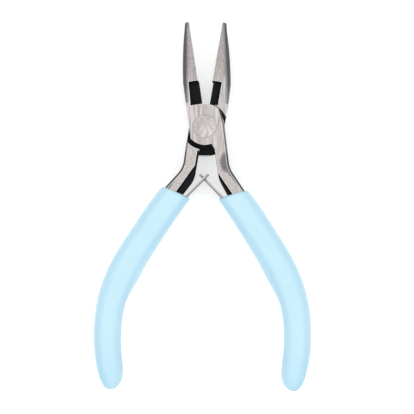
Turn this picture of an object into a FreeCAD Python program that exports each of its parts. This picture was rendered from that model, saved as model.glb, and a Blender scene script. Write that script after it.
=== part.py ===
"""Small jewellery pliers: two lapped levers on a flush rivet, half round gripping jaws with a
flush side cutter at their root, linked leaf springs and dipped soft grips.

Row frame: origin on the pivot's axis at the joint's back face, +Y along the jaws, +X to the
right, +Z out of the front face.  Each side of the pliers (lever, leaf spring, its rivet, grip)
is drawn in one lever frame with the jaws closed on x = 0, the jaw at x < 0 and the handle at
x > 0, and is then opened about the pivot; the rear side is also turned over about Y.
"""
import FreeCAD, Part
import math
import os
import re
import Sketcher

V = FreeCAD.Vector
Z_AXIS = V(0, 0, 1)
Y_AXIS = V(0, 1, 0)

# Driving sizes in millimetres and degrees: alias, value, what it is.
SIZES = [
    ("half_open", 9, "each lever's turn from closed to the stored pose"),
    ("joint_thick", 8, "thickness of the steel at the joint"),
    ("lap_gap", 0.06, "gap between the two lapped faces"),
    ("boss_rad", 7.6, "lap boss on the jaw side"),
    ("front_boss_low", 6.2, "front lever's boss on the handle side"),
    ("rear_boss_low", 9.8, "rear lever's boss on the handle side"),
    ("relief_gap", 0.25, "gap round a boss in the other lever's relief"),
    ("jaw_len", 35.9, "pivot to jaw tip"),
    ("jaw_tip_width", 1.45, "one jaw at its tip, across"),
    ("jaw_tip_depth", 2.4, "one jaw at its tip, front to back"),
    ("jaw_nose_width", 2.1, "one jaw just behind the tip, across"),
    ("jaw_nose_depth", 3.8, "one jaw just behind the tip, front to back"),
    ("jaw_nose_back", 2.9, "length of the blunt nose"),
    ("jaw_mid", 25, "pivot to the middle of the jaw"),
    ("jaw_mid_depth", 5.9, "one jaw at its middle, front to back"),
    ("jaw_flank", 1.2, "corner of the jaw's section at its root"),
    ("front_mid", 3.75, "front lever's outer side at the jaw's middle"),
    ("rear_mid", 4.35, "rear lever's outer side at the jaw's middle"),
    ("front_waist", 5.05, "front lever's outer side at the cutter's top"),
    ("rear_waist", 6.3, "rear lever's outer side at the cutter's top"),
    ("front_root", 5.2, "front lever's outer side at the jaw's root"),
    ("rear_root", 6.7, "rear lever's outer side at the jaw's root"),
    ("cutter_low", 7.65, "pivot to the lower end of the cutter"),
    ("cutter_high", 15.6, "pivot to the upper end of the cutter"),
    ("front_blade", 0.4, "front lever's cutting edge, past the gripping plane"),
    ("rear_blade", -0.4, "rear lever's cutting edge, back from the plane by as much"),
    ("cutter_width", 3.2, "cutter recess at its upper end, in from the gripping plane"),
    ("front_cutter_low", 3.6, "the same at the lower end of the front lever's recess"),
    ("rear_cutter_low", 3.2, "the same at the lower end of the rear lever's recess"),
    ("cutter_web", 2.4, "steel left between the two cutter recesses"),
    ("cutter_bevel", 0.45, "how far back the cutting edge is bevelled"),
    ("cutter_edge", 0.3, "thickness of the cutting edge"),
    ("front_neck_out", 6.6, "front lever's neck, outer side"),
    ("rear_neck_out", 5.3, "rear lever's neck, outer side"),
    ("front_neck_in", 2.2, "front lever's neck, inner side"),
    ("rear_neck_in", 0.45, "rear lever's neck, inner side"),
    ("neck_end", 15, "pivot to the end of the straight neck, outer side"),
    ("crotch_end", 18.3, "pivot to the end of the straight neck, inner side"),
    ("neck_bevel", 0.8, "bevel on the neck's outer edges"),
    ("front_step", 1.6, "front lever's inner step, width at the grip"),
    ("rear_step", 2.4, "rear lever's inner step, width at the grip"),
    ("front_step_top", 16.2, "pivot to the top of the front lever's step"),
    ("rear_step_top", 13.4, "pivot to where the rear lever's step widens"),
    ("rear_step_lead", 0.6, "width of the rear lever's step above that"),
    ("step_deep", 1.1, "how far the inner step lies below the ground face"),
    ("mouth_right", 5.9, "grip mouth's centre, across from the closed line"),
    ("mouth_down", 23.7, "grip mouth's centre, below the pivot"),
    ("handle_angle", 25.5, "handle's lean when the jaws are closed"),
    ("tang_out", 4, "tang's outer side from the handle's line"),
    ("front_tang_in", 1.6, "front tang's inner side from the handle's line"),
    ("rear_tang_in", 2.2, "rear tang's inner side from the handle's line"),
    ("core_half", 2.9, "half width of the steel core"),
    ("core_thick", 6.2, "thickness of the steel core"),
    ("tang_deep", 3, "how far the thick tang goes into the grip"),
    ("bend_start", 23, "grip mouth to the start of the handle's bend"),
    ("core_bend", 53, "bend radius of the core's line"),
    ("core_turn", 40, "how far the core turns"),
    ("grip_thick", 10.4, "grip, front to back"),
    ("grip_out", 5.3, "grip's outer side from the handle's line"),
    ("grip_in", 4.9, "grip's inner side from the handle's line"),
    ("grip_bend", 56, "bend radius of the grip's outer side"),
    ("grip_turn", 50, "how far the grip turns"),
    ("grip_palm", 9.1, "width of the bent part of the grip"),
    ("grip_heel", 20, "turn at which the grip's inner bend starts"),
    ("grip_end", 5.3, "length of the rounded end"),
    ("grip_round", 3.4, "rounding of the grip's long edges"),
    ("grip_fit", 0.02, "gap between the grip and the steel in it"),
    ("pin_rad", 2, "pivot rivet's shank"),
    ("pin_head", 3.9, "pivot rivet's flush heads"),
    ("head_deep", 1.2, "thickness of a flush head"),
    ("pin_fit", 0.05, "running gap round the rivet"),
    ("spring_thick", 1, "leaf spring's thickness"),
    ("spring_wide", 4.6, "leaf spring's width, front to back"),
    ("spring_root", 9, "length of the leaf inside the grip"),
    ("spring_bend", 10, "bend of the leaf at the grip mouth"),
    ("spring_curve", 30, "radius of that bend"),
    ("spring_knee", 0.6, "grip mouth to the corner of the bend"),
    ("leaf_gap", 0.25, "gap between the leaf and the grip round it"),
    ("link_gap", 0.3, "gap between the two linked leaves"),
    ("link_neck", 1.6, "neck of the tongue, front to back"),
    ("link_head", 1.2, "length of the tongue's head"),
    ("link_rail", 0.5, "how much narrower the tongue's head is on each side"),
    ("rivet_rad", 0.9, "spring rivet's shank"),
    ("rivet_head", 1.4, "spring rivet's countersunk head"),
    ("rivet_sink", 0.5, "depth of the countersink"),
    ("rivet_len", 4.2, "spring rivet's length"),
    ("rivet_back", 6, "grip mouth to the spring rivet"),
]

os.makedirs("parts", exist_ok=True)
doc = FreeCAD.newDocument("pliers")
sheet = doc.addObject("Spreadsheet::Sheet", "Sizes")
for row, (alias, number, meaning) in enumerate(SIZES, start=1):
    sheet.set("A%d" % row, meaning)
    sheet.set("B%d" % row, str(number))
    sheet.setAlias("B%d" % row, alias)
doc.recompute()

ALIASES = re.compile(r"\b(" + "|".join(alias for alias, _, _ in SIZES) + r")\b")


def bound(text):
    """The expression with every size read from the sheet."""
    return ALIASES.sub(r"Sizes.\1", text)


def value(text):
    """The number that an expression has now."""
    result = sheet.evalExpression(bound(text).replace("Sizes.", ""))
    return float(getattr(result, "Value", result))


# ---------------------------------------------------------------- sketching

def origin_plane(body, role):
    for feature in body.Origin.OriginFeatures:
        if feature.Role == role:
            return feature
    raise ValueError("no plane " + role)


def new_sketch(body, name, plane="XY_Plane", base=("0", "0", "0"), turn=None, axis=Z_AXIS):
    """A sketch on one of the body's own planes, moved by base and turned about axis."""
    sketch = body.newObject("Sketcher::SketchObject", name)
    sketch.AttachmentSupport = [(origin_plane(body, plane), "")]
    sketch.MapMode = "FlatFace"
    sketch.AttachmentOffset = FreeCAD.Placement(V(*[value(part) for part in base]),
                                                FreeCAD.Rotation(axis, value(turn or "0")))
    for letter, part in zip("xyz", base):
        sketch.setExpression("AttachmentOffset.Base." + letter, bound(part))
    if turn:
        sketch.setExpression("AttachmentOffset.Rotation.Angle", bound(turn))
    return sketch


def bind(sketch, constraint, text):
    """Adds a dimension that follows an expression."""
    index = sketch.addConstraint(constraint)
    sketch.setExpression("Constraints[%d]" % index, bound(text))


def pin_point(sketch, geometry, place, x_text, y_text):
    """Fixes a point of the sketch by its two coordinates."""
    for kind, text in (("DistanceX", x_text), ("DistanceY", y_text)):
        bind(sketch, Sketcher.Constraint(kind, -1, 1, geometry, place, value(text)), text)


def add_circle(sketch, x_text, y_text, radius_text):
    centre = V(value(x_text), value(y_text), 0)
    index = sketch.addGeometry(Part.Circle(centre, Z_AXIS, value(radius_text)), False)
    pin_point(sketch, index, 3, x_text, y_text)
    bind(sketch, Sketcher.Constraint("Radius", index, value(radius_text)), radius_text)


def arc_between(start, end, radius, left):
    """An arc of at most half a turn; left says that it turns left on the way to end."""
    middle = (start + end) * 0.5
    chord = end - start
    side = V(-chord.y, chord.x, 0).normalize() * (1 if left else -1)
    rise = math.sqrt(max(radius ** 2 - (chord.Length / 2) ** 2, 0))
    centre = middle + side * rise
    first, last = (start, end) if left else (end, start)
    angles = [math.atan2(p.y - centre.y, p.x - centre.x) for p in (first, last)]
    if angles[1] < angles[0]:
        angles[1] += 2 * math.pi
    return Part.ArcOfCircle(Part.Circle(centre, Z_AXIS, radius), angles[0], angles[1])


def add_outline(sketch, points):
    """A closed outline.  Each point is (x, y), (x, y, "round", radius) for a rounded corner, or
    (x, y, "left" or "right", radius) where an arc that turns that way runs to the next point."""
    count = len(points)
    places = [V(value(p[0]), value(p[1]), 0) for p in points]
    starts, ends, rounds = list(places), list(places), {}
    for i, point in enumerate(points):
        if point[2:3] != ("round",):
            continue
        back = (places[i - 1] - places[i]).normalize()
        ahead = (places[(i + 1) % count] - places[i]).normalize()
        reach = value(point[3]) / math.tan(back.getAngle(ahead) / 2)
        ends[i], starts[i] = places[i] + back * reach, places[i] + ahead * reach
        left = back.x * ahead.y - back.y * ahead.x < 0
        rounds[i] = (arc_between(ends[i], starts[i], value(point[3]), left), left)

    edges = []
    for i, point in enumerate(points):
        j = (i + 1) % count
        if point[2:3] in (("left",), ("right",)):
            left = point[2] == "left"
            index = sketch.addGeometry(arc_between(places[i], places[j], value(point[3]), left), False)
            bind(sketch, Sketcher.Constraint("Radius", index, value(point[3])), point[3])
            edges.append((index, 1, 2) if left else (index, 2, 1))
        else:
            index = sketch.addGeometry(Part.LineSegment(starts[i], ends[j]), False)
            edges.append((index, 1, 2))

    for i, point in enumerate(points):
        before, after = edges[i - 1], edges[i]
        if i in rounds:
            arc, left = rounds[i]
            index = sketch.addGeometry(arc, False)
            corner = sketch.addGeometry(Part.Point(places[i]), True)
            first, last = (1, 2) if left else (2, 1)
            sketch.addConstraint(Sketcher.Constraint("Tangent", before[0], before[2], index, first))
            sketch.addConstraint(Sketcher.Constraint("Tangent", index, last, after[0], after[1]))
            bind(sketch, Sketcher.Constraint("Radius", index, value(point[3])), point[3])
            for line in (before, after):
                sketch.addConstraint(Sketcher.Constraint("PointOnObject", corner, 1, line[0]))
            pin_point(sketch, corner, 1, point[0], point[1])
        else:
            sketch.addConstraint(Sketcher.Constraint("Coincident", before[0], before[2],
                                                     after[0], after[1]))
            pin_point(sketch, after[0], after[1], point[0], point[1])


# ---------------------------------------------------------------- features

def pad(body, sketch, length, midplane=False):
    feature = body.newObject("PartDesign::Pad", sketch.Name + "Pad")
    feature.Profile = sketch
    feature.Midplane = midplane
    feature.setExpression("Length", bound(length))
    return feature


def pocket(body, sketch, length, towards_normal=False, midplane=False):
    feature = body.newObject("PartDesign::Pocket", sketch.Name + "Pocket")
    feature.Profile = sketch
    feature.Reversed = towards_normal
    feature.Midplane = midplane
    feature.setExpression("Length", bound(length))
    doc.recompute()
    base, shape = feature.BaseFeature.Shape, feature.Shape
    if shape.isNull() or shape.Volume > base.Volume - 1e-6:
        raise ValueError(feature.Name + " cuts nothing")
    return feature


def edges_where(shape, test):
    return ["Edge%d" % n for n, edge in enumerate(shape.Edges, start=1) if test(edge)]


def dress(body, kind, test, size):
    """A fillet or a chamfer on the edges of the body's last feature that pass the test."""
    doc.recompute()
    base = body.Tip
    names = edges_where(base.Shape, test)
    if not names:
        raise ValueError(body.Name + ": no edge for the " + kind)
    feature = body.newObject("PartDesign::" + kind, "%s%s%d" % (body.Name, kind, len(body.Group)))
    feature.Base = (base, names)
    feature.setExpression("Radius" if kind == "Fillet" else "Size", bound(size))
    doc.recompute()
    if feature.Shape.isNull():
        raise ValueError("%s: the %s failed on %s" % (body.Name, kind, names))
    return feature


def place_side(body, rear):
    """Opens a piece with its lever; the rear side is turned over first."""
    if rear:
        body.setExpression("Placement", bound("placement(vector(0; 0; joint_thick); "
                                              "rotationz(-half_open) * rotationy(180))"))
    else:
        body.setExpression("Placement", bound("placement(vector(0; 0; 0); rotationz(half_open))"))


def new_body(label):
    body = doc.addObject("PartDesign::Body", label)
    body.Label = label
    return body


# The handle's frame stands at the centre of the grip mouth: its y runs back up the handle and
# its x outwards.  These give lever coordinates for a point of the handle's frame.
COS = "cos(handle_angle)"
SIN = "sin(handle_angle)"
MID = "joint_thick / 2"


def handle_point(out, up):
    return ("mouth_right + (%s) * %s - (%s) * %s" % (out, COS, up, SIN),
            "-mouth_down + (%s) * %s + (%s) * %s" % (out, SIN, up, COS))


def handle_sketch(body, name, height):
    return new_sketch(body, name, base=("mouth_right", "-mouth_down", height), turn="handle_angle")


def rivet_sketch(body, name):
    """A sketch across the leaf, centred on its rivet, whose normal is the rivet's axis."""
    across, down = handle_point("-core_half - spring_thick", "-rivet_back")
    return new_sketch(body, name, "YZ_Plane", (down, MID, across), "handle_angle", Y_AXIS)


# ---------------------------------------------------------------- the levers

def jaw_section(body, name, inner, along, outer, depth, corner):
    """A half round jaw's section: flat on its inner side, its two outer corners rounded."""
    sketch = new_sketch(body, name, "XZ_Plane", ("0", "0", "-(%s)" % along))
    low, high = "%s - (%s) / 2" % (MID, depth), "%s + (%s) / 2" % (MID, depth)
    add_outline(sketch, [(inner, low),
                         (inner, high),
                         ("-(%s)" % outer, high, "round", corner),
                         ("-(%s)" % outer, low, "round", corner)])
    return sketch


def lever(label, side, other, rear):
    """One lever; side and other are the words that start its own and its mate's sizes."""
    body = new_body(label)
    root, neck_out, neck_in = side + "_root", side + "_neck_out", side + "_neck_in"
    low = side + "_boss_low"
    blade = side + "_blade"

    # The thick blank: jaw root, lap boss, neck and the tang that enters the grip.
    blank = new_sketch(body, side + "Blank")
    boss_side = "sqrt(%s ^ 2 - %s ^ 2)"
    tang_outer = handle_point("tang_out", "-tang_deep")
    tang_inner = handle_point("-%s_tang_in" % side, "-tang_deep")
    # The front boss runs out into its neck by a short slope, the rear one meets it square.
    boss_end = neck_in if rear else neck_in + " - 0.8"
    slope = [] if rear else [(neck_in, "-%s - 1.8" % low, "round", "1")]
    add_outline(blank, [
        ("-" + root, "cutter_low + 1"),
        ("-" + root, "-" + boss_side % (low, root), "left", low),
        (boss_end, "-" + boss_side % (low, "(%s)" % boss_end)),
        *slope,
        (neck_in, "-crotch_end", "round", "9"),
        handle_point("-%s_tang_in" % side, "0.3"),
        tang_inner,
        tang_outer,
        handle_point("tang_out", "0.3"),
        (neck_out + " - 0.3", "-neck_end", "round", "8"),
        (neck_out + " + 0.1", "0", "round", "12"),
        ("boss_rad * cos(34)", "boss_rad * sin(34)", "left", "boss_rad"),
        (blade, boss_side % ("boss_rad", blade)),
        (blade, "cutter_low + 1"),
    ])
    pad(body, blank, "joint_thick")

    # The steel core that runs on inside the grip, thinner than the tang.
    core = handle_sketch(body, side + "Core", MID)
    inner_bend, outer_bend = "(core_bend - core_half)", "(core_bend + core_half)"
    add_outline(core, [
        ("core_half", "-tang_deep + 1"),
        ("-core_half", "-tang_deep + 1"),
        ("-core_half", "-bend_start", "right", inner_bend),
        ("-core_bend + %s * cos(core_turn)" % inner_bend,
         "-bend_start - %s * sin(core_turn)" % inner_bend),
        ("-core_bend + %s * cos(core_turn)" % outer_bend,
         "-bend_start - %s * sin(core_turn)" % outer_bend, "left", outer_bend),
        ("core_half", "-bend_start"),
    ])
    pad(body, core, "core_thick", midplane=True)

    # The jaw, drawn through four sections to its nose, and its blunt tip.
    nose = "jaw_len - jaw_nose_back"
    sections = [
        jaw_section(body, side + "JawRoot", blade, "cutter_low", root, "joint_thick", "jaw_flank"),
        jaw_section(body, side + "BladeTop", blade, "cutter_high", side + "_waist",
                    "joint_thick - 0.2", "jaw_flank * 2"),
        jaw_section(body, side + "JawWaist", "0", "cutter_high", side + "_waist",
                    "joint_thick - 0.2", "jaw_flank * 2"),
        jaw_section(body, side + "JawMiddle", "0", "jaw_mid", side + "_mid", "jaw_mid_depth",
                    "jaw_mid_depth * 0.42"),
        jaw_section(body, side + "JawNose", "0", nose, "jaw_nose_width", "jaw_nose_depth",
                    "jaw_nose_depth * 0.42"),
        jaw_section(body, side + "JawTip", "0", "jaw_len", "jaw_tip_width", "jaw_tip_depth",
                    "jaw_tip_depth * 0.42"),
    ]
    for name, first, last in (("Root", 0, 1), ("Jaw", 2, 4), ("Nose", 4, 5)):
        loft = body.newObject("PartDesign::AdditiveLoft", side + name)
        loft.Profile = sections[first]
        loft.Sections = sections[first + 1:last + 1]

    # The relief in the back half, where the other lever's boss turns.
    deep = "joint_thick / 2 + lap_gap / 2"
    relief = new_sketch(body, side + "Relief")
    add_circle(relief, "0", "0", "boss_rad + relief_gap")
    pocket(body, relief, deep, towards_normal=True)
    lower = new_sketch(body, side + "LowerRelief")
    if rear:
        # Its boss is larger than the relief, so beside the neck only the half thickness is left.
        bottom = "-%s - relief_gap" % low
        add_outline(lower, [(neck_in, bottom), (neck_in, "-3"), ("-%s - 1" % root, "-3"),
                            ("-%s - 1" % root, bottom)])
    else:
        radius = "(%s_boss_low + relief_gap)" % other
        ends = [("%s%s * cos(20)" % (sign, radius), "-%s * sin(20)" % radius) for sign in ("-", "")]
        add_outline(lower, [ends[0] + ("left", radius), ends[1]])
    pocket(body, lower, deep, towards_normal=True)

    # The rivet's bore, with a counterbore in the outer face; only one lever turns on the rivet.
    gap = "0" if rear else "pin_fit"
    bore = new_sketch(body, side + "Bore")
    add_circle(bore, "0", "0", "pin_rad + " + gap)
    pocket(body, bore, "joint_thick", towards_normal=True)
    seat = new_sketch(body, side + "HeadSeat", base=("0", "0", "joint_thick"))
    add_circle(seat, "0", "0", "pin_head + " + gap)
    pocket(body, seat, "head_deep + " + gap)

    # The two cutter recesses and the bevels of the edge between them.
    depth = "(joint_thick - cutter_web) / 2 + 1"
    for name, height, inward in (("Front", "joint_thick + 1", False), ("Back", "-1", True)):
        recess = new_sketch(body, side + name + "Cutter", base=("0", "0", height))
        add_outline(recess, [("-%s_cutter_low" % side, "cutter_low"), ("1", "cutter_low"),
                             ("1", "cutter_high"), ("-cutter_width", "cutter_high")])
        pocket(body, recess, depth, towards_normal=inward)
    for name, sign in (("Front", "+"), ("Back", "-")):
        bevel = new_sketch(body, side + name + "Bevel", "XZ_Plane", (blade, "0", "-cutter_high"))
        web_face = "%s %s cutter_web / 2" % (MID, sign)
        edge = "%s %s cutter_edge / 2" % (MID, sign)
        add_outline(bevel, [("-cutter_bevel", web_face), ("0.5", web_face), ("0.5", edge), ("0", edge)])
        pocket(body, bevel, "cutter_high - cutter_low", towards_normal=True)

    # The unground step along the tang's inner side, front and back.
    step_in = "-%s_tang_in" % side
    step_out = "%s + %s_step" % (step_in, side)
    if rear:
        lead = neck_in + " + rear_step_lead"
        start = [(lead, "-boss_rad - relief_gap - 0.4"), (lead, "-rear_step_top")]
    else:
        start = [(neck_in, "-front_step_top")]
    for name, height, inward in (("Front", "joint_thick", False), ("Back", "0", True)):
        strip = new_sketch(body, side + name + "Step", base=("0", "0", height))
        add_outline(strip, [
            (neck_in + " - 3", start[0][1]),
            (neck_in + " - 3", handle_point(step_in, "-tang_deep - 1")[1]),
            handle_point(step_out, "-tang_deep - 1"),
            *reversed(start),
        ])
        pocket(body, strip, "step_deep", towards_normal=inward)

    # The bevel along the neck's outer side.
    top = value("joint_thick")
    reach = -value("mouth_down") + 1

    def neck_edge(edge):
        box = edge.BoundBox
        flat = box.ZLength < 0.01 and (abs(box.ZMin) < 0.01 or abs(box.ZMin - top) < 0.01)
        return flat and box.XMin > value(neck_out) - 1.2 and box.YMax < -7 and box.YMin > reach - 4
    dress(body, "Chamfer", neck_edge, "neck_bevel")

    # The leaf spring's rivet hole in the core's inner side.
    hole = rivet_sketch(body, side + "RivetHole")
    add_circle(hole, "0", "0", "rivet_rad")
    pocket(body, hole, "rivet_len", towards_normal=True)
    place_side(body, rear)
    return body


# ---------------------------------------------------------------- rivets

def turned_piece(label, profile, plane="XZ_Plane"):
    """A piece turned about its own z axis from a half outline given as (radius, height)."""
    body = new_body(label)
    sketch = new_sketch(body, label + "Outline", plane)
    add_outline(sketch, profile)
    turned = body.newObject("PartDesign::Revolution", label + "Turned")
    turned.Profile = sketch
    turned.ReferenceAxis = (sketch, ["V_Axis"])
    turned.Angle = 360
    return body


def pivot_rivet():
    lower, upper = "head_deep", "joint_thick - head_deep"
    return turned_piece("pivot_rivet", [
        ("0", "0"), ("pin_head", "0"), ("pin_head", lower), ("pin_rad", lower),
        ("pin_rad", upper), ("pin_head", upper), ("pin_head", "joint_thick"), ("0", "joint_thick")])


def spring_rivet(label, rear):
    """A countersunk pin; its own z runs from the leaf's face into the core."""
    body = new_body(label)
    sketch = rivet_sketch(body, label + "Outline")
    add_circle(sketch, "0", "0", "rivet_rad")
    pad(body, sketch, "rivet_len")
    head = rivet_sketch(body, label + "Head")
    add_circle(head, "0", "0", "rivet_head")
    pad(body, head, "rivet_sink")
    place_side(body, rear)
    return body


# ---------------------------------------------------------------- leaf springs

LEAF = "(-core_half - spring_thick / 2)"
KNEE = handle_point(LEAF, "spring_knee")
LEAN = "(handle_angle + spring_bend)"
# From the knee along the leaf to the line where the two leaves cross.
CROSS = "((%s) * cos(half_open) - (%s) * sin(half_open)) / sin(%s + half_open)" % (KNEE + (LEAN,))


def leaf_point(along, across):
    """Handle coordinates of a point past the knee; across is positive on the outer face."""
    return ("%s - (%s) * sin(spring_bend) + (%s) * cos(spring_bend)" % (LEAF, along, across),
            "spring_knee + (%s) * cos(spring_bend) + (%s) * sin(spring_bend)" % (along, across))


def leaf_band(body, name, first, last, height):
    """A sketch that crosses the leaf from first to last along it."""
    sketch = handle_sketch(body, name, height)
    wide = "spring_thick * 2"
    add_outline(sketch, [leaf_point(first, "-" + wide), leaf_point(first, wide),
                         leaf_point(last, wide), leaf_point(last, "-" + wide)])
    return sketch


def leaf_spring(label, end):
    """A bent strip whose root lies on the core under the grip."""
    body = new_body(label)
    sketch = handle_sketch(body, label + "Edge", MID)
    half = "spring_thick / 2"
    tilt = "%s * tan(spring_bend / 2)" % half
    add_outline(sketch, [
        ("-core_half - spring_thick", "-spring_root"),
        ("-core_half", "-spring_root"),
        ("-core_half", "spring_knee + " + tilt, "round", "spring_curve + " + half),
        leaf_point(end, half),
        leaf_point(end, "-" + half),
        ("-core_half - spring_thick", "spring_knee - " + tilt, "round", "spring_curve - " + half),
    ])
    pad(body, sketch, "spring_wide", midplane=True)
    hole = rivet_sketch(body, label + "Hole")
    add_circle(hole, "0", "0", "rivet_rad")
    pocket(body, hole, "spring_thick", towards_normal=True)
    sink = rivet_sketch(body, label + "Sink")
    add_circle(sink, "0", "0", "rivet_head")
    pocket(body, sink, "rivet_sink", towards_normal=True)
    return body


def window_spring():
    """The left leaf: a window in its end takes the other leaf's tongue."""
    window = "(spring_thick / 2 + link_gap)"
    body = leaf_spring("left_leaf_spring", "%s + %s + link_head" % (CROSS, window))
    band = leaf_band(body, "Window", "%s - %s" % (CROSS, window), "%s + %s" % (CROSS, window), MID)
    pocket(body, band, "link_neck + 2 * link_gap", midplane=True)
    place_side(body, True)
    return body


def tongue_spring():
    """The right leaf: a narrow neck with a wider head beyond the other leaf."""
    beyond = "(%s + spring_thick / 2 + link_gap)" % CROSS
    body = leaf_spring("right_leaf_spring", beyond + " + link_head")
    half = "spring_wide / 2"
    for name, side, inward in (("Front", "+", False), ("Back", "-", True)):
        edge = "%s %s %s" % (MID, side, half)
        neck = leaf_band(body, name + "Neck", "%s - spring_thick" % CROSS, beyond, edge)
        pocket(body, neck, "(spring_wide - link_neck) / 2", towards_normal=inward)
        head = leaf_band(body, name + "Head", beyond + " - 0.2", beyond + " + link_head + 1", edge)
        pocket(body, head, "link_rail", towards_normal=inward)
    place_side(body, False)
    return body


# ---------------------------------------------------------------- grips

def soft_grip(label, rear):
    """A dipped sleeve round the tang, the core and the leaf's root."""
    body = new_body(label)
    outline = handle_sketch(body, label + "Outline", MID)
    inner_bend = "(grip_bend - grip_palm)"
    centre = "grip_out - grip_bend"
    outer_end = ("%s + grip_bend * cos(grip_turn)" % centre, "-bend_start - grip_bend * sin(grip_turn)")
    inner_end = ("%s + %s * cos(grip_turn)" % (centre, inner_bend),
                 "-bend_start - %s * sin(grip_turn)" % inner_bend)
    ahead = ("- grip_end * sin(grip_turn)", "- grip_end * cos(grip_turn)")
    corner = [(end[0] + ahead[0], end[1] + ahead[1]) for end in (outer_end, inner_end)]
    add_outline(outline, [
        ("grip_out", "0", "round", "1.2"),
        ("-grip_in", "0", "round", "0.6"),
        ("%s + %s * cos(grip_heel)" % (centre, inner_bend),
         "-bend_start - %s * sin(grip_heel)" % inner_bend, "right", inner_bend),
        inner_end,
        corner[1] + ("round", "3"),
        corner[0] + ("round", "4"),
        outer_end + ("left", "grip_bend"),
        ("grip_out", "-bend_start"),
    ])
    pad(body, outline, "grip_thick", midplane=True)

    half = value("grip_thick") / 2

    def long_edge(edge):
        box = edge.BoundBox
        flat = box.ZLength < 0.01 and abs(abs(box.ZMin - value(MID)) - half) < 0.01
        return flat
    dress(body, "Fillet", long_edge, "grip_round")

    def hollow(name, outer, inner, deep, thick):
        sketch = handle_sketch(body, label + name, MID)
        add_outline(sketch, [(outer, "1"), (inner, "1"), (inner, deep), (outer, deep)])
        pocket(body, sketch, thick, midplane=True)

    fit = "grip_fit"
    tang_in = "-%s_tang_in - %s" % ("rear" if rear else "front", fit)
    hollow("TangHollow", "tang_out + " + fit, tang_in, "-tang_deep - " + fit,
           "joint_thick + 2 * " + fit)
    hollow("LeafHollow", "-core_half", "-core_half - spring_thick - leaf_gap",
           "-spring_root - leaf_gap", "spring_wide + 2 * leaf_gap")
    core = handle_sketch(body, label + "CoreHollow", MID)
    inner = "(core_bend - core_half - %s)" % fit
    outer = "(core_bend + core_half + %s)" % fit
    turn = "core_turn"
    add_outline(core, [
        ("core_half + " + fit, "-tang_deep + 1"),
        ("-core_half - " + fit, "-tang_deep + 1"),
        ("-core_half - " + fit, "-bend_start", "right", inner),
        ("-core_bend + %s * cos(%s) - %s" % (inner, turn, fit),
         "-bend_start - %s * sin(%s) - %s" % (inner, turn, fit)),
        ("-core_bend + %s * cos(%s) - %s" % (outer, turn, fit),
         "-bend_start - %s * sin(%s) - %s" % (outer, turn, fit), "left", outer),
        ("core_half + " + fit, "-bend_start"),
    ])
    pocket(body, core, "core_thick + 2 * " + fit, midplane=True)
    place_side(body, rear)
    return body


# ---------------------------------------------------------------- the whole

pieces = [
    lever("front_lever", "front", "rear", False),
    lever("rear_lever", "rear", "front", True),
    pivot_rivet(),
    window_spring(),
    tongue_spring(),
    spring_rivet("left_spring_rivet", True),
    spring_rivet("right_spring_rivet", False),
    soft_grip("left_grip", True),
    soft_grip("right_grip", False),
]
doc.recompute()

for item in doc.Objects:
    if "Invalid" in item.State or "Error" in item.State:
        raise ValueError("%s failed: %s" % (item.Name, item.State))
for piece in pieces:
    shape = piece.Shape
    if shape.isNull() or not shape.isValid() or len(shape.Solids) != 1:
        raise ValueError(piece.Label + " isn't one sound solid")
for piece in pieces:
    piece.Shape.exportStep("parts/%s.step" % piece.Label)
    print("%-20s %9.1f mm3" % (piece.Label, piece.Shape.Volume))
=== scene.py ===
"""Looks of the small jewellery pliers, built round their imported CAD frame.

Every size is in metres and every place is in the frame's axes: +Y along the jaws, +X to the
right, +Z out of the front face, with the pivot's axis on the origin.
"""
import math

import bpy
from mathutils import Matrix, Vector


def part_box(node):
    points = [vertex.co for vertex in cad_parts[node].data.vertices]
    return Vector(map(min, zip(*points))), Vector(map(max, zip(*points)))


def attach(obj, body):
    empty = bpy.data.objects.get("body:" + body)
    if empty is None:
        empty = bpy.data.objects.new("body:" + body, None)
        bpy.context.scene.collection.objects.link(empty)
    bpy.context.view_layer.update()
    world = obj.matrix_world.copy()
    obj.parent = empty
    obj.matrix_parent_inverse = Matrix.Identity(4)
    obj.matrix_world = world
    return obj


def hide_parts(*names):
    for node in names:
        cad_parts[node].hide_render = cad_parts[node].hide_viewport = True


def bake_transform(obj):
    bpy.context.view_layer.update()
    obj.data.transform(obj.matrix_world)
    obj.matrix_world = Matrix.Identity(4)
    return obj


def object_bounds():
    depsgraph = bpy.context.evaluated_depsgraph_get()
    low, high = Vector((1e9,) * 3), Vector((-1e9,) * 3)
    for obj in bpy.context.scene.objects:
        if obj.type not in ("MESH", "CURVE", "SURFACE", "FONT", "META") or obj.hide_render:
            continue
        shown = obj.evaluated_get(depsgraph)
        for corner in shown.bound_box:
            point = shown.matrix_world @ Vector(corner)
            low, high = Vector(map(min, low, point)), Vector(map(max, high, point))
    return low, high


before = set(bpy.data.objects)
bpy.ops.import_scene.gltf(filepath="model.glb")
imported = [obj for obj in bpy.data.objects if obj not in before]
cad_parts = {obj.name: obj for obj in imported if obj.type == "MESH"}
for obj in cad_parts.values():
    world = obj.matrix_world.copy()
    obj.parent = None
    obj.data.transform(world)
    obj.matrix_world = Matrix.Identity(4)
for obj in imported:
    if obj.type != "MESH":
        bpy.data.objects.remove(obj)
CAD_BOX = [list(corner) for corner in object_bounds()]

bl_info = {
    "name": "Jewellery pliers",
    "version": (1, 0, 0),
    "blender": (4, 5, 0),
    "location": "3D View > Sidebar > Pliers",
    "description": "Finishes, soft grips and linked leaf springs of small jewellery pliers",
    "category": "Object",
}

MM = 0.001
FRONT, REAR = "front_side", "rear_side"
LEVER_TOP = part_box("front_lever")[1].z
MID_Z = LEVER_TOP / 2
TURN_OVER = Matrix.Translation((0, 0, MID_Z)) @ Matrix.Rotation(math.pi, 4, "Y") \
    @ Matrix.Translation((0, 0, -MID_Z))


# ---------------------------------------------------------------- shaders

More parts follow.
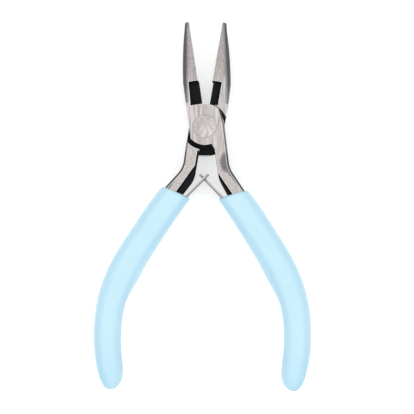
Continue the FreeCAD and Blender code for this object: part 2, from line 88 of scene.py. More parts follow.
class Value:
    """A shader socket that can be used in an expression."""

    def __init__(self, finish, socket):
        self.finish = finish
        self.socket = socket

    def math(self, operation, *others):
        sockets = {index: other for index, other in enumerate((self,) + others)}
        return self.finish.node("Math", {"operation": operation}, sockets)[0]

    def __add__(self, other):
        return self.math("ADD", other)

    def __radd__(self, other):
        return self.math("ADD", other)

    def __sub__(self, other):
        return self.math("SUBTRACT", other)

    def __rsub__(self, other):
        return self.math("MULTIPLY_ADD", -1.0, other)

    def __mul__(self, other):
        return self.math("MULTIPLY", other)

    def __rmul__(self, other):
        return self.math("MULTIPLY", other)

    def size(self):
        return self.math("ABSOLUTE")

    def most(self, other):
        return self.math("MAXIMUM", other)

    def ramp(self, low, high):
        """0 at low, 1 at high, and smooth between them."""
        settings = {"interpolation_type": "SMOOTHSTEP"}
        return self.finish.node("MapRange", settings, {"Value": self, 1: low, 2: high})[0]


class Nodes:
    """A node tree to which nodes are added one at a time."""

    def __init__(self, tree):
        self.tree = tree

    def node(self, kind, settings=None, sockets=None):
        """Adds a node and gives its outputs, by name or number."""
        made = self.tree.nodes.new("ShaderNode" + kind)
        for key, setting in (settings or {}).items():
            setattr(made, key, setting)
        for key, content in (sockets or {}).items():
            if isinstance(content, Value):
                self.tree.links.new(content.socket, made.inputs[key])
            else:
                made.inputs[key].default_value = content
        return Outputs(self, made)

    def parts(self, vector):
        outputs = self.node("SeparateXYZ", None, {0: vector})
        return outputs[0], outputs[1], outputs[2]


class Finish(Nodes):
    """A material on one Principled shader."""

    def __init__(self, name):
        self.material = bpy.data.materials.new(name)
        self.material.use_nodes = True
        super().__init__(self.material.node_tree)
        self.shader = self.tree.nodes["Principled BSDF"]
        self.place = self.node("TexCoord")["Object"]
        self.x, self.y, self.z = self.parts(self.place)
        self.facing = self.parts(self.node("NewGeometry")["Normal"])[2]

    def stretched(self, scale, turn=0.0):
        """Object coordinates scaled along each axis after a turn about Z."""
        turned = self.node("Mapping", {"vector_type": "POINT"},
                           {"Vector": self.place, "Rotation": (0, 0, turn)})[0]
        return self.node("Mapping", {"vector_type": "POINT"},
                         {"Vector": turned, "Scale": scale})[0]

    def noise(self, vector, scale=1.0, detail=3.0, rough=0.55):
        return self.node("TexNoise", None, {"Vector": vector, "Scale": scale, "Detail": detail,
                                            "Roughness": rough})["Fac"]

    def blend(self, mask, first, second):
        """Colour first where the mask is 0 and second where it is 1."""
        colour = {"data_type": "RGBA", "clamp_factor": True}
        return self.node("Mix", colour, {"Factor": mask, 6: first, 7: second})[2]

    def shade(self, colour, amount):
        """The colour made darker or lighter by a number that varies round 1."""
        grey = self.node("CombineXYZ", None, {0: amount, 1: amount, 2: amount})[0]
        return self.node("VectorMath", {"operation": "MULTIPLY"}, {0: colour, 1: grey})[0]

    def bump(self, height, distance, strength=1.0, normal=None):
        sockets = {"Height": height, "Distance": distance, "Strength": strength}
        if normal:
            sockets["Normal"] = normal
        return self.node("Bump", None, sockets)["Normal"]

    def set(self, **inputs):
        """Sets the shader's own sockets; an underscore stands for a space."""
        for key, content in inputs.items():
            socket = self.shader.inputs[key.replace("_", " ")]
            if isinstance(content, Value):
                self.tree.links.new(content.socket, socket)
            else:
                socket.default_value = content
        return self.material


class Outputs:
    """A node's outputs as values."""

    def __init__(self, finish, node):
        self.finish = finish
        self.node = node

    def __getitem__(self, key):
        return Value(self.finish, self.node.outputs[key])


def rgb(colour):
    """A colour with its alpha, for a colour socket."""
    return (colour[0], colour[1], colour[2], 1.0)


# ---------------------------------------------------------------- sizes and colours

class PliersFinishes(bpy.types.PropertyGroup):
    ground: bpy.props.FloatVectorProperty(
        name="Ground steel", description="Faces ground bright after forging",
        subtype="COLOR", default=(0.475, 0.443, 0.43))
    # Painted shade: the flank colour is partly darker forged steel and partly painted shade on the
    # lever's sides, which turn away from the light.
    shaded_flank: bpy.props.FloatVectorProperty(
        name="Forged flanks", description="Sides left as they came from tumbling",
        subtype="COLOR", default=(0.13, 0.126, 0.13))
    black: bpy.props.FloatVectorProperty(
        name="Black recesses", description="Recessed faces that keep their black oxide",
        subtype="COLOR", default=(0.006, 0.005, 0.007))
    # Painted highlight: the corners' colour is far brighter than the ground steel, partly from
    # wear and partly as a painted highlight along the bevels.
    edge: bpy.props.FloatVectorProperty(
        name="Bright edges", description="Corners worn bright",
        subtype="COLOR", default=(0.92, 0.91, 0.90))
    spring: bpy.props.FloatVectorProperty(
        name="Spring steel", description="Rolled spring strip",
        subtype="COLOR", default=(0.50, 0.49, 0.485))
    # Painted shade: the inner half of the strip's rounded edge, which turns away from the light,
    # is painted in this darker colour.
    spring_shade: bpy.props.FloatVectorProperty(
        name="Spring's inner half", description="Dark sheared half of the strip's edge",
        subtype="COLOR", default=(0.25, 0.235, 0.23))
    vinyl: bpy.props.FloatVectorProperty(
        name="Grip", description="Dipped soft vinyl",
        subtype="COLOR", default=(0.58, 0.83, 0.95))
    # Painted shade: this darker vinyl is laid in a band beside each grip's edges, as shade where
    # its rounded sides turn from the light, and it also darkens towards the grip's far end.
    shaded_deep_vinyl: bpy.props.FloatVectorProperty(
        name="Deeper grip", description="Vinyl where it is thicker, beside the edges",
        subtype="COLOR", default=(0.44, 0.73, 0.90))
    streaks: bpy.props.FloatProperty(
        name="Streaks", description="How strongly the ground steel is streaked", default=2.1)
    grain: bpy.props.FloatProperty(
        name="Grinding lines", description="Depth of the grinding lines",
        subtype="DISTANCE", default=0.000012, precision=6)
    rivet_seam: bpy.props.FloatProperty(
        name="Rivet seam", description="Radius at which the dark seam round the rivet starts",
        subtype="DISTANCE", default=0.00378, precision=5)
    edge_width: bpy.props.FloatProperty(
        name="Edge width", description="Width of the worn corners of the steel",
        subtype="DISTANCE", default=0.00014, precision=6)


class PliersGrip(bpy.types.PropertyGroup):
    mouth_right: bpy.props.FloatProperty(
        name="Mouth across", description="Centre of the grip's mouth, right of the pivot",
        subtype="DISTANCE", default=0.00953, precision=5)
    mouth_down: bpy.props.FloatProperty(
        name="Mouth down", description="Centre of the grip's mouth, below the pivot",
        subtype="DISTANCE", default=0.02249, precision=5)
    lean: bpy.props.FloatProperty(
        name="Lean", description="Lean of the grip's straight part",
        subtype="ANGLE", default=math.radians(34.5))
    straight: bpy.props.FloatProperty(
        name="Straight", description="Length of the grip before its bend",
        subtype="DISTANCE", default=0.023, precision=4)
    bend: bpy.props.FloatProperty(
        name="Bend radius", description="Radius of the bent part's middle line",
        subtype="DISTANCE", default=0.051, precision=4)
    width: bpy.props.FloatProperty(
        name="Width", description="Grip from side to side at its mouth",
        subtype="DISTANCE", default=0.010, precision=4)
    thickness: bpy.props.FloatProperty(
        name="Thickness", description="Grip from front to back",
        subtype="DISTANCE", default=0.0104, precision=4)
    right_slant: bpy.props.FloatProperty(
        name="Right slant", description="Slant of the right grip's mouth",
        subtype="ANGLE", default=math.radians(17.5))
    left_slant: bpy.props.FloatProperty(
        name="Left slant", description="Slant of the left grip's mouth",
        subtype="ANGLE", default=math.radians(11.5))
    left_reach: bpy.props.FloatProperty(
        name="Left reach", description="How much further up the left grip's mouth lies",
        subtype="DISTANCE", default=0.00065, precision=5)
    rounding: bpy.props.FloatProperty(
        name="Rounding", description="Radius of the grip's long corners",
        subtype="DISTANCE", default=0.0033, precision=4)


class PliersStage(bpy.types.PropertyGroup):
    lens: bpy.props.FloatProperty(
        name="Lens", description="Focal length of the camera, in millimetres", default=100.0)
    view_height: bpy.props.FloatProperty(
        name="View height", description="Height of the view at the front face",
        subtype="DISTANCE", default=0.1403, precision=4)
    aim: bpy.props.FloatVectorProperty(
        name="Aim", description="Point that the camera looks straight down at",
        subtype="TRANSLATION", size=2, default=(0.00107, -0.02705))
    roll: bpy.props.FloatProperty(
        name="Roll", description="How far the camera is turned about its view",
        subtype="ANGLE", default=math.radians(0.6))
    surround: bpy.props.FloatProperty(
        name="Surround", description="Brightness of the surroundings at floor level",
        default=0.35)
    overhead: bpy.props.FloatProperty(
        name="Overhead", description="Brightness of the surroundings overhead", default=1.15)
    floor_glow: bpy.props.FloatProperty(
        name="Floor glow", description="Light that the floor itself gives", default=0.56)
    top_power: bpy.props.FloatProperty(
        name="Top light", description="Power of the large soft light overhead, in watts",
        default=0.8)
    side_power: bpy.props.FloatProperty(
        name="Side light", description="Power of the soft light at the side, in watts",
        default=0.4)
    floor_colour: bpy.props.FloatVectorProperty(
        name="Floor", description="Colour of the plain floor", subtype="COLOR",
        default=(0.6, 0.6, 0.61))


# ---------------------------------------------------------------- modelling helpers

def only(obj):
    """Makes obj the one selected and active object."""
    if bpy.context.object and bpy.context.object.mode != "OBJECT":
        bpy.ops.object.mode_set(mode="OBJECT")
    bpy.ops.object.select_all(action="DESELECT")
    obj.select_set(True)
    bpy.context.view_layer.objects.active = obj
    return obj


def edit(obj, mode="VERT"):
    only(obj)
    bpy.ops.object.mode_set(mode="EDIT")
    bpy.ops.mesh.select_mode(type=mode)
    bpy.ops.mesh.select_all(action="DESELECT")


def done():
    bpy.ops.object.mode_set(mode="OBJECT")


def pick(obj, test):
    """Selects in edit mode the points whose places pass a test."""
    edit(obj)
    done()
    for vertex in obj.data.vertices:
        vertex.select = test(vertex.co)
    bpy.ops.object.mode_set(mode="EDIT")


def apply_modifier(obj, name, kind, **settings):
    only(obj)
    modifier = obj.modifiers.new(name, kind)
    for key, setting in settings.items():
        setattr(modifier, key, setting)
    bpy.ops.object.modifier_apply(modifier=name)


def settle(obj):
    """Puts the object's place into its mesh."""
    only(obj)
    bpy.ops.object.transform_apply(location=True, rotation=True, scale=True)


def copy_of_node(node, name):
    """A merged copy of a CAD node's mesh, as a piece that can be finished."""
    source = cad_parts[node]
    piece = bpy.data.objects.new(name, source.data.copy())
    bpy.context.scene.collection.objects.link(piece)
    piece.data.materials.clear()
    edit(piece)
    bpy.ops.mesh.select_all(action="SELECT")
    bpy.ops.mesh.remove_doubles(threshold=0.000002)
    bpy.ops.mesh.customdata_custom_splitnormals_clear()
    done()
    return piece


def use(piece, *materials):
    piece.data.materials.clear()
    for material in materials:
        piece.data.materials.append(material)


# ---------------------------------------------------------------- steel finishes

GRINDING_SCALE = (2900, 120, 2900)
RIVET_SCALE = (2300, 210, 2300)
STRIP_SCALE = (900, 900, 9000)
RUNS_SCALE = (45, 620, 620)


def ground_colour(finish, look):
    """Bright steel: grinding lines on the joint, a blasted grain on jaws and necks."""
    lines = finish.noise(finish.stretched(GRINDING_SCALE), detail=2, rough=0.6)
    blasted = finish.noise(finish.place, 3000, 2, 0.6)
    cloud = finish.noise(finish.place, 160, 2)
    joint = finish.y.ramp(-11 * MM, -8 * MM) * (1 - 0.75 * finish.y.ramp(15 * MM, 20 * MM))
    streak = (lines - 0.5) * joint + 1.2 * (blasted - 0.5) * (1 - joint)
    return finish.shade(tuple(look.ground), 0.95 + look.streaks * streak + 0.1 * cloud), lines


def outer_band(finish, across, through, lean):
    """1 outside a line that slants down a neck and 0 inside it."""
    offset = (across - through[0] * MM) * math.cos(lean) \
        + (finish.y - through[1] * MM) * math.sin(lean)
    return offset.ramp(-0.6 * MM, 0.1 * MM)


# Centre and radii of the painted shade in each neck's hollow scoop.
SCOOP = (7.2 * MM, -11.8 * MM)
SCOOP_RADII = (2.1 * MM, 3.9 * MM)
# A point in mm on the inner edge of the band of painted shade and the band's lean, on face and
# back.
FACE_SHADE_BAND = ((8.67, -16.0), math.radians(39.4))
BACK_SHADE_BAND = ((6.57, -12.8), math.radians(33))


def painted_neck_shade(finish):
    """Painted shade in a hollow scoop on the face of each lever's neck that runs out down its
    outer side, and in a narrower band on the neck's back; the coordinate across changes sign
    between the two."""
    across = finish.x * finish.facing
    right = (across - SCOOP[0]) * (1 / SCOOP_RADII[0])
    up = (finish.y - SCOOP[1]) * (1 / SCOOP_RADII[1])
    scoop = 1 - (right * right + up * up).ramp(0.35, 1.15)
    face = outer_band(finish, across, *FACE_SHADE_BAND)
    back = outer_band(finish, -1.0 * across, *BACK_SHADE_BAND)
    return scoop.most(face.most(back) * (1 - finish.y.ramp(-13.5 * MM, -11 * MM)))


def lever_steel(name, look):
    """Ground faces and darker flanks, told apart by how squarely they face forwards; the flanks'
    darkness is partly forged steel and partly painted shade on the faces that turn away from the
    front.
    """
    finish = Finish(name)
    ground, lines = ground_colour(finish, look)
    speckle = finish.noise(finish.place, 2600, 3, 0.7)
    # Painted shade: the flanks are painted darker on the jaws and necks than on the joint.
    away = finish.y.ramp(7 * MM, 15 * MM).most(1 - finish.y.ramp(-10 * MM, -7 * MM))
    shaded_flank = finish.shade(tuple(look.shaded_flank), (0.6 + 0.8 * speckle) * (2.1 - 1.1 * away))
    # Painted shade: the ground faces are painted darker along the jaws, where they round away from
    # the light.
    jaw_shade = finish.y.ramp(9 * MM, 22 * MM)
    ground = finish.shade(ground, 1 - 0.24 * jaw_shade)
    # Painted shade: faces that turn away from the front take the darker flank colour, and so do
    # the painted shaded hollows of the necks.
    face = finish.facing.size().ramp(0.72, 0.98) * (1 - 0.8 * painted_neck_shade(finish))
    rough = 0.34 + 0.2 * lines + 0.12 * (1 - face)
    height = lines * face + 0.8 * speckle * (1 - face)
    return finish.set(Base_Color=finish.blend(face, shaded_flank, ground), Metallic=1.0,
                      Roughness=rough, Normal=finish.bump(height, look.grain, 0.7))


def gripping_steel(name, look):
    """The jaws' flat gripping faces, ground along their length."""
    finish = Finish(name)
    colour, lines = ground_colour(finish, look)
    return finish.set(Base_Color=colour, Metallic=1.0, Roughness=0.3 + 0.2 * lines,
                      Normal=finish.bump(lines, look.grain, 0.6))


def black_recess(name, look):
    """Matt black oxide left in the recesses, faintly mottled."""
    finish = Finish(name)
    speckle = finish.noise(finish.place, 1800, 4, 0.7)
    patch = finish.noise(finish.place, 300, 2)
    colour = finish.shade(tuple(look.black), 0.5 + 0.8 * speckle + 0.4 * patch)
    return finish.set(Base_Color=colour, Roughness=0.5 + 0.2 * patch, Specular_IOR_Level=0.13,
                      Normal=finish.bump(speckle, look.grain, 0.6))


def worn_highlit_edge_steel(name, look):
    """Corners worn bright and painted brighter still as a highlight, with a little variation along
    them.
    """
    finish = Finish(name)
    wear = finish.noise(finish.place, 900, 3)
    colour = finish.shade(tuple(look.edge), 0.75 + 0.4 * wear)
    return finish.set(Base_Color=colour, Metallic=1.0, Roughness=0.28 + 0.2 * wear)


def rivet_steel(name, look):
    """Ground steel whose lines cross at two slants, with a broken dark seam round its rim."""
    finish = Finish(name)
    first, second = (finish.noise(finish.stretched(RIVET_SCALE, math.radians(slant)),
                                  detail=4, rough=0.7) for slant in (24, -30))
    cross = first.most(second)
    colour = finish.shade(tuple(look.ground), 1.1 + 1.3 * look.streaks * (cross - 0.57))
    radius = (finish.x * finish.x + finish.y * finish.y).math("SQRT")
    broken = finish.noise(finish.place, 900, 2).ramp(0.35, 0.6)
    seam = radius.ramp(look.rivet_seam, look.rivet_seam + 0.1 * MM) * (0.35 + 0.65 * broken)
    # Painted shade: the rivet's sides, which stand in its hole, are painted black.
    side = 1 - finish.facing.size().ramp(0.3, 0.8)
    colour = finish.blend(seam.most(side), colour, rgb(look.black))
    return finish.set(Base_Color=colour, Metallic=1.0, Roughness=0.3 + 0.25 * first,
                      Normal=finish.bump(cross, look.grain, 0.9))


def spring_steel(name, look, knee, outwards):
    """Rolled strip: fine lines along it, and edges painted dark over their inner half as the shade
    on their rounded side.
    """
    finish = Finish(name)
    lines = finish.noise(finish.stretched(STRIP_SCALE), detail=4)
    patch = finish.noise(finish.place, 350, 2)
    offset = (finish.x - knee.x) * outwards.x + (finish.y - knee.y) * outwards.y
    # Painted shade: the inner half of each edge is painted dark.
    inner = (1 - offset.ramp(0.0, 0.18 * MM)) * finish.facing.size().ramp(0.5, 0.9)
    colour = finish.blend(inner, rgb(look.spring), rgb(look.spring_shade))
    colour = finish.shade(colour, 0.7 + 0.35 * lines + 0.25 * patch)
    return finish.set(Base_Color=colour, Metallic=1.0, Roughness=0.2 + 0.18 * lines,
                      Normal=finish.bump(lines, look.grain, 0.4))


def grip_vinyl(name, look):
    """Soft dipped vinyl: long faint runs down the sleeve, an orange-peel skin, dulled patches, and
    painted shade in a band beside its edges.
    """
    finish = Finish(name)
    lay = finish.node("Attribute", {"attribute_name": "lay"})["Vector"]
    run = finish.node("Mapping", {"vector_type": "POINT"},
                      {"Vector": lay, "Scale": RUNS_SCALE})[0]
    runs = finish.noise(run, detail=3)
    cloud = finish.noise(finish.place, 90, 3)
    peel = finish.noise(finish.place, 1500, 2, 0.5)
    pores = finish.noise(finish.place, 5200, 2)
    rubbed = finish.noise(finish.place, 210, 3)
    down, across, _ = finish.parts(lay)
    # Painted shade: a band beside each edge of the grip is darkened; the colour also darkens
    # towards the grip's far end.
    beside = across.size().ramp(1.8 * MM, 3.6 * MM) * (1 - across.size().ramp(4.0 * MM, 5.2 * MM))
    deep = 0.55 * beside + 0.4 * down.ramp(52 * MM, 73 * MM)
    colour = finish.blend(deep, rgb(look.vinyl), rgb(look.shaded_deep_vinyl))
    colour = finish.shade(colour, 0.93 + 0.07 * cloud + 0.07 * runs)
    height = 0.6 * peel + 0.2 * pores
    ridge = finish.bump(runs, 0.00025, 0.5)
    return finish.set(Base_Color=colour, Roughness=0.42 + 0.16 * rubbed,
                      Subsurface_Weight=0.12, Subsurface_Radius=(0.6, 0.9, 1.0),
                      Subsurface_Scale=0.0015, IOR=1.5,
                      Normal=finish.bump(height, 0.00002, 0.5, ridge))


# ---------------------------------------------------------------- levers and rivets

HALF_OPEN = math.radians(9)
TO_CLOSED = Matrix.Rotation(-HALF_OPEN, 4, "Z")
CUTTER_LOW = 7.5 * MM
CUTTER_TOP = 15.65 * MM
CUTTER_OUTER = -3.5 * MM
CUTTER_INNER = 1.2 * MM
NECK_TOP = -7 * MM
SKIN = 0.3 * MM
SHARP = math.radians(28)
# How far a corner wears, and so how wide its bevel with the painted highlight is, between no, one
# and two outer faces.
WEAR = (0.0, 1.0, 0.6)
# Faces larger than this, in square metres, are ground flat and shaded flat.
BROAD = 0.00001
OUTER, RECESS, GRIPPING, CORNER = range(4)


def lever_coordinates(side):
    """From the row frame to the frame in which either lever is drawn, with its jaws closed."""
    return TO_CLOSED if side == FRONT else TO_CLOSED @ TURN_OVER


def lever_face_kind(place, normal):
    """Which finish a face of a lever has; place and normal are those of the closed lever."""
    if place.y > CUTTER_TOP:
        return GRIPPING if normal.x > 0.9 and abs(place.x) < SKIN else OUTER
    inside = SKIN < place.z < LEVER_TOP - SKIN
    cutter = place.y > CUTTER_LOW and CUTTER_OUTER < place.x < CUTTER_INNER
    if inside and (cutter or abs(normal.z) > 0.9):
        return RECESS
    inner_wall = place.y < NECK_TOP and normal.x < -0.3
    return RECESS if inner_wall else OUTER


def weigh_corners(piece):
    """Marks the corners that wear: full at a recess's lip, less between two outer faces."""
    kinds = {}
    for face in piece.data.polygons:
        for key in face.edge_keys:
            kinds.setdefault(key, []).append(face)
    weights = piece.data.attributes.new("bevel_weight_edge", "FLOAT", "EDGE")
    for edge, entry in zip(piece.data.edges, weights.data):
        faces = kinds.get(tuple(sorted(edge.vertices)), [])
        if len(faces) == 2 and faces[0].normal.angle(faces[1].normal) > SHARP:
            outer = sum(face.material_index == OUTER for face in faces)
            entry.value = WEAR[outer]


def finish_lever(node, side, look, materials):
    """The lever with its corners worn round and each face in its own finish."""
    piece = copy_of_node(node, node + "_steel")
    edit(piece)
    bpy.ops.mesh.select_all(action="SELECT")
    bpy.ops.mesh.dissolve_limited(angle_limit=math.radians(1.0), delimit={"NORMAL"})
    done()
    use(piece, *materials)
    frame_of_lever = lever_coordinates(side)
    turn = frame_of_lever.to_3x3()
    for face in piece.data.polygons:
        face.material_index = lever_face_kind(frame_of_lever @ face.center, turn @ face.normal)
    weigh_corners(piece)
    apply_modifier(piece, "Worn corners", "BEVEL", width=look.edge_width, segments=2,
                   limit_method="WEIGHT", material=CORNER, use_clamp_overlap=False)
    only(piece)
    bpy.ops.object.shade_smooth_by_angle(angle=math.radians(24))
    for face in piece.data.polygons:
        face.use_smooth = face.area < BROAD
    apply_modifier(piece, "Even triangles", "TRIANGULATE", ngon_method="BEAUTY",
                   min_vertices=5)
    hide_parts(node)
    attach(piece, side)
    return piece


class PLIERS_OT_levers(bpy.types.Operator):
    """Finish both levers"""
    bl_idname = "pliers.levers"
    bl_label = "Levers"

    def execute(self, context):
        look = context.scene.pliers_finishes
        recess = black_recess("Black oxide", look)
        gripping = gripping_steel("Gripping face", look)
        edge = worn_highlit_edge_steel("Worn and highlit steel corner", look)
        outer = lever_steel("Ground and forged steel with painted shade", look)
        for node, side in (("front_lever", FRONT), ("rear_lever", REAR)):
            finish_lever(node, side, look, (outer, recess, gripping, edge))
        return {"FINISHED"}


class PLIERS_OT_rivets(bpy.types.Operator):
    """Finish the pivot rivet and the two spring rivets"""
    bl_idname = "pliers.rivets"
    bl_label = "Rivets"

    def execute(self, context):
        look = context.scene.pliers_finishes
        steel = rivet_steel("Ground rivet", look)
        for node in ("pivot_rivet", "left_spring_rivet", "right_spring_rivet"):
            use(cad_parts[node], steel)
        return {"FINISHED"}


# ---------------------------------------------------------------- springs

KNEE = Vector((6.39, -23.92, 4.0)) * MM
CROSSING = Vector((0.0, -17.41, 4.0)) * MM
LEAF_CUTS = 24
# How far the cuts go, as a share of the way from knee to crossing.
LEAF_REACH = 1.24
STRIP_CORNER = 0.09 * MM


def leaf_spring(node, mirrored, look):
    """The leaf with cuts all along its free length, and rounded corners."""
    piece = copy_of_node(node, node + "_strip")
    knee, crossing = KNEE.copy(), CROSSING.copy()
    if mirrored:
        knee.x = -knee.x
    run = crossing - knee
    outwards = Vector((run.y, -run.x)).normalized() * (-1 if mirrored else 1)
    edit(piece)
    bpy.ops.mesh.select_all(action="SELECT")
    bpy.ops.mesh.dissolve_limited(angle_limit=math.radians(0.5))
    for index in range(LEAF_CUTS):
        bpy.ops.mesh.select_all(action="SELECT")
        bpy.ops.mesh.bisect(plane_co=knee + run * (index * LEAF_REACH / LEAF_CUTS), plane_no=run)
    done()
    use(piece, spring_steel(node.replace("_", " ").capitalize(), look, knee, outwards))
    apply_modifier(piece, "Rolled corners", "BEVEL", width=STRIP_CORNER, segments=2,
                   limit_method="ANGLE", angle_limit=math.radians(40), use_clamp_overlap=False)
    only(piece)
    bpy.ops.object.shade_smooth_by_angle(angle=math.radians(30))
    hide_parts(node)
    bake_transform(piece)
    return piece


class PLIERS_OT_springs(bpy.types.Operator):
    """Make the two linked leaf springs"""
    bl_idname = "pliers.springs"
    bl_label = "Leaf springs"

    def execute(self, context):
        look = context.scene.pliers_finishes
        leaf_spring("right_leaf_spring", False, look)
        leaf_spring("left_leaf_spring", True, look)
        return {"FINISHED"}


# ---------------------------------------------------------------- grips

# Down the grip from its mouth: distance, outer side, inner side in mm, share of the thickness.
GRIP_STATIONS = (
    (0.95, 5.15, -4.90, 1.0), (2.2, 5.27, -4.95, 1.0), (4.6, 5.30, -4.88, 1.0),
    (8, 5.35, -4.80, 1.0), (12, 5.30, -4.85, 1.0), (16, 5.20, -5.00, 1.0),
    (20.5, 5.10, -5.20, 1.0), (25.5, 5.00, -5.40, 1.0), (30.5, 5.05, -5.50, 1.0),
    (34, 5.10, -5.25, 1.0), (37, 5.15, -4.75, 1.0), (40, 5.25, -4.20, 1.0),
    (43, 5.25, -3.90, 1.0), (47, 5.22, -3.80, 1.0), (51, 5.14, -3.75, 1.0),
    (55, 5.14, -3.65, 0.995), (59, 5.20, -3.50, 0.98), (62.9, 5.16, -3.40, 0.95),
    (65.8, 5.10, -3.15, 0.91), (67.9, 5.00, -2.75, 0.85), (69.5, 4.70, -2.10, 0.76),
    (70.7, 4.20, -1.20, 0.62), (71.5, 3.55, -0.20, 0.44), (71.95, 2.90, 0.80, 0.24),
)
TIP_CAP = 0.25 * MM
CROWN = 1.03
BENT = math.radians(57.5)
# The lip's rings, going back from the mouth: distance in mm, share of the ring before.
MOUTH_LIP = ((-0.42, 0.965), (-0.23, 0.93), (-0.12, 0.86), (-0.08, 0.72), (-0.05, 0.5))
# Rings turned with the mouth, last first: where in mm down the grip, and their share of the slant.
SLANTED = ((8, 0.25), (4.6, 0.6), (2.2, 0.85), (0.5, 1.0))
SLANT_REACH = 0.6 * MM


def size_ring(centre, across, deep):
    bpy.ops.transform.resize(value=(1, across, deep), center_override=centre)


def grip_ring(look):
    """The grip's section: a plane with rounded corners and crowned sides."""
    bpy.ops.object.select_all(action="DESELECT")
    bpy.ops.mesh.primitive_plane_add(size=1, rotation=(0, math.pi / 2, 0))
    ring = bpy.context.object
    settle(ring)
    edit(ring)
    bpy.ops.mesh.select_all(action="SELECT")
    bpy.ops.transform.resize(value=(1, look.width, look.thickness / CROWN))
    bpy.ops.mesh.select_all(action="SELECT")
    bpy.ops.mesh.bevel(offset=look.rounding, segments=4, affect="VERTICES", profile=0.5)
    bpy.ops.mesh.select_all(action="SELECT")
    bpy.ops.mesh.delete(type="ONLY_FACE")
    done()
    for edge in ring.data.edges:
        first, second = (ring.data.vertices[index].co for index in edge.vertices)
        edge.select = (first - second).length > 2 * MM
    bpy.ops.object.mode_set(mode="EDIT")
    bpy.ops.mesh.subdivide(number_cuts=1)
    bpy.ops.transform.resize(value=(1, CROWN, CROWN))
    return ring


def straight_grip(look, slant, reach):
    """The grip as a straight sleeve down +X from its mouth, with its outer side towards +Y."""
    sleeve = grip_ring(look)
    width, deep = look.width, 1.0
    bpy.ops.mesh.select_all(action="SELECT")
    along, middle = 0.0, 0.0
    for station, outer, inner, share in GRIP_STATIONS:
        if along:
            bpy.ops.mesh.extrude_region_move(TRANSFORM_OT_translate={
                "value": (station * MM - along, (outer + inner) / 2 * MM - middle, 0)})
        else:
            bpy.ops.transform.translate(value=(station * MM, (outer + inner) / 2 * MM, 0))
        along, middle = station * MM, (outer + inner) / 2 * MM
        across = (outer - inner) * MM
        size_ring((along, middle, 0), across / width, share / deep)
        width, deep = across, share
    bpy.ops.mesh.extrude_region_move(TRANSFORM_OT_translate={"value": (TIP_CAP, 0.2 * MM, 0)})
    bpy.ops.mesh.merge(type="CENTER")
    close_mouth(sleeve)
    slant_mouth(sleeve, slant, reach)
    return sleeve


def close_mouth(sleeve):
    """Rolls the mouth's lip inwards and closes it over the steel."""
    first = GRIP_STATIONS[0]
    centre = (first[1] + first[2]) / 2 * MM
    pick(sleeve, lambda place: abs(place.x - first[0] * MM) < 0.01 * MM)
    along = first[0] * MM
    for back, share in MOUTH_LIP:
        bpy.ops.mesh.extrude_region_move(TRANSFORM_OT_translate={"value": (back * MM, 0, 0)})
        along += back * MM
        bpy.ops.transform.resize(value=(1, share, share), center_override=(along, centre, 0))
    bpy.ops.mesh.merge(type="CENTER")
    bpy.ops.mesh.select_all(action="SELECT")
    bpy.ops.mesh.normals_make_consistent(inside=False)
    done()


def slant_mouth(sleeve, slant, reach):
    """Turns the mouth and the rings next to it, so that the inner side reaches further up,
    and draws them all up the handle."""
    for along, share in SLANTED:
        centre = Vector((along * MM, 0, 0))
        pick(sleeve, lambda place: abs(place.x - centre.x) < SLANT_REACH)
        bpy.ops.transform.rotate(value=slant * share, orient_axis="Z",
                                 center_override=centre)
        bpy.ops.transform.translate(value=(-reach * share, 0, 0))
    done()


def handle_line(look):
    """A guide for the grip's middle line: straight from the mouth, then bent inwards."""
    bpy.ops.object.select_all(action="DESELECT")
    bpy.ops.curve.primitive_bezier_curve_add()
    guide = bpy.context.object
    guide.data.resolution_u = 64
    guide.data.use_deform_bounds = False
    points = guide.data.splines[0].bezier_points
    points.add(1)
    heading = Vector((math.sin(look.lean), -math.cos(look.lean), 0))
    mouth = Vector((look.mouth_right, -look.mouth_down, 0))
    bend = mouth + heading * look.straight
    centre = bend + Vector((heading.y, -heading.x, 0)) * look.bend
    turn = Matrix.Rotation(-BENT, 3, "Z")
    far = centre + turn @ (bend - centre)
    reach = 4 / 3 * math.tan(BENT / 4) * look.bend
    third = heading * look.straight / 3
    lines = ((mouth, third, third), (bend, third, heading * reach),
             (far, turn @ heading * reach, turn @ heading * reach))
    for point, (place, before, after) in zip(points, lines):
        point.handle_left_type = point.handle_right_type = "FREE"
        point.co = place
        point.handle_left = place - before
        point.handle_right = place + after
    return guide


def make_grip(node, side, look, slant, reach, material):
    """The straight sleeve bent along its handle, smoothed and set on its own side."""
    grip = straight_grip(look, slant, reach)
    grip.name = grip.data.name = node + "_sleeve"
    lay = grip.data.attributes.new("lay", "FLOAT_VECTOR", "POINT")
    for vertex, entry in zip(grip.data.vertices, lay.data):
        entry.vector = vertex.co
    guide = handle_line(look)
    apply_modifier(grip, "Bend", "CURVE", object=guide, deform_axis="POS_X")
    bpy.data.objects.remove(guide)
    grip.location.z = MID_Z
    settle(grip)
    if side == REAR:
        grip.matrix_world = TURN_OVER
        settle(grip)
    apply_modifier(grip, "Smooth", "SUBSURF", levels=2, render_levels=2)
    only(grip)
    bpy.ops.object.shade_smooth()
    use(grip, material)
    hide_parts(node)
    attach(grip, side)


class PLIERS_OT_grips(bpy.types.Operator):
    """Make the two dipped grips"""
    bl_idname = "pliers.grips"
    bl_label = "Grips"

    def execute(self, context):
        look = context.scene.pliers_grip
        material = grip_vinyl("Dipped vinyl", context.scene.pliers_finishes)
        make_grip("right_grip", FRONT, look, look.right_slant, 0, material)
        make_grip("left_grip", REAR, look, look.left_slant, look.left_reach, material)
        return {"FINISHED"}


# ---------------------------------------------------------------- stage

def soft_light(name, place, aim, size, power):
    bpy.ops.object.light_add(type="AREA", location=place)
    light = bpy.context.object
    light.name = name
    light.data.shape = "DISK"
    light.data.size = size
    light.data.energy = power
    light.rotation_euler = (Vector(aim) - Vector(place)).to_track_quat("-Z", "Y").to_euler()


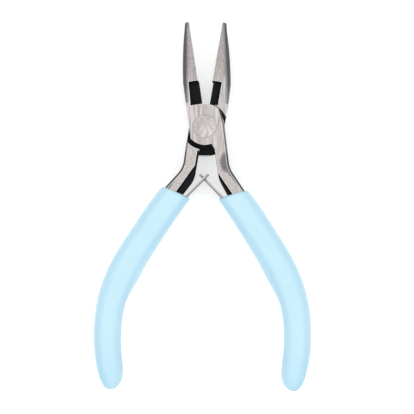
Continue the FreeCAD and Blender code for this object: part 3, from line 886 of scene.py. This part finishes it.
class PLIERS_OT_stage(bpy.types.Operator):
    """Set out the floor, the soft lights and the camera"""
    bl_idname = "pliers.stage"
    bl_label = "Stage"

    def execute(self, context):
        look = context.scene.pliers_stage
        scene = context.scene
        bpy.ops.object.select_all(action="DESELECT")
        floor_level = CAD_BOX[0][2] - 0.05 * MM
        bpy.ops.mesh.primitive_plane_add(size=4, location=(0, 0, floor_level))
        floor = context.object
        floor.name = "floor"
        settle(floor)
        finish = Finish("Pale floor")
        grain = finish.noise(finish.place, 400, 2)
        colour = finish.shade(tuple(look.floor_colour), 0.99 + 0.01 * grain)
        use(floor, finish.set(Base_Color=colour, Roughness=0.9, Specular_IOR_Level=0.1,
                              Emission_Color=(1, 1, 1, 1), Emission_Strength=look.floor_glow))

        world = scene.world = bpy.data.worlds.new("Studio")
        world.use_nodes = True
        tent = Nodes(world.node_tree)
        height = tent.parts(tent.node("TexCoord")["Generated"])[2]
        glow = height.ramp(-0.1, 0.95) * (look.overhead - look.surround) + look.surround
        grey = tent.node("CombineXYZ", None, {0: glow, 1: glow, 2: glow})[0]
        tent.tree.links.new(grey.socket, tent.tree.nodes["Background"].inputs["Color"])
        soft_light("top light", (-0.15, 0.25, 0.9), (0, -0.03, 0), 0.9, look.top_power)
        soft_light("side light", (0.7, -0.5, 0.6), (0, -0.03, 0), 0.6, look.side_power)

        bpy.ops.object.camera_add()
        camera = context.object
        camera.data.lens = look.lens
        distance = look.view_height * look.lens / camera.data.sensor_width
        camera.location = (look.aim[0], look.aim[1], MID_Z + distance)
        camera.rotation_euler = (0, 0, look.roll)
        camera.data.clip_start = 0.01
        scene.camera = camera
        scene.view_settings.view_transform = "Standard"
        return {"FINISHED"}


# ---------------------------------------------------------------- add-on

GROUPS = (("pliers_finishes", PliersFinishes), ("pliers_grip", PliersGrip),
          ("pliers_stage", PliersStage))
STEPS = (PLIERS_OT_levers, PLIERS_OT_rivets, PLIERS_OT_springs, PLIERS_OT_grips,
         PLIERS_OT_stage)


class PLIERS_PT_panel(bpy.types.Panel):
    bl_idname = "PLIERS_PT_panel"
    bl_label = "Jewellery pliers"
    bl_space_type = "VIEW_3D"
    bl_region_type = "UI"
    bl_category = "Pliers"

    def draw(self, context):
        for name, group in GROUPS:
            box = self.layout.box()
            for key in group.__annotations__:
                box.prop(getattr(context.scene, name), key)
        for step in STEPS:
            self.layout.operator(step.bl_idname)


CLASSES = tuple(group for _, group in GROUPS) + STEPS + (PLIERS_PT_panel,)


def register():
    for kind in CLASSES:
        bpy.utils.register_class(kind)
    for name, group in GROUPS:
        setattr(bpy.types.Scene, name, bpy.props.PointerProperty(type=group))


def unregister():
    for name, _ in GROUPS:
        delattr(bpy.types.Scene, name)
    for kind in reversed(CLASSES):
        bpy.utils.unregister_class(kind)


def main():
    register()
    bpy.ops.pliers.levers()
    bpy.ops.pliers.rivets()
    bpy.ops.pliers.springs()
    bpy.ops.pliers.grips()
    bpy.ops.pliers.stage()


if __name__ == "__main__":
    main()
